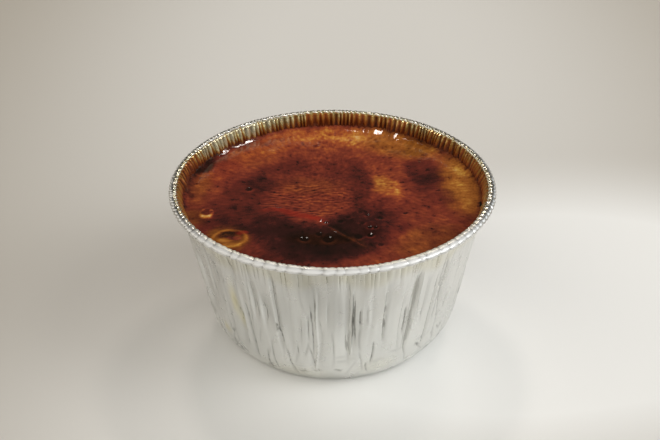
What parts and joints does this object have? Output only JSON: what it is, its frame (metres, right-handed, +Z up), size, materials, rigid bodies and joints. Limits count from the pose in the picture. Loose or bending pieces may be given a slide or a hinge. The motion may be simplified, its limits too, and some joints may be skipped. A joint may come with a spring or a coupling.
{
  "type": "creme brulee",
  "caption": "Baked creme with a dark glossy caramelised top, filling a round tapered foil cup with a crinkled wall and a rolled rim, served and eaten from the cup.",
  "frame": {"origin": "centre of the cup's flat base, on the surface that it stands on", "axes": "+Z up through the middle of the rim; +X to the right and -Y towards the viewer of the side with the large burst blister at front left"},
  "size_m": [0.085, 0.085, 0.043],
  "materials": {
    "foil": "bright pressed aluminium foil, crinkled",
    "creme": "wet, glossy browned caramel, mottled from orange brown to near black"
  },
  "bodies": {
    "root": {"foil_cup": "foil", "creme": "creme"}
  },
  "joints": []
}
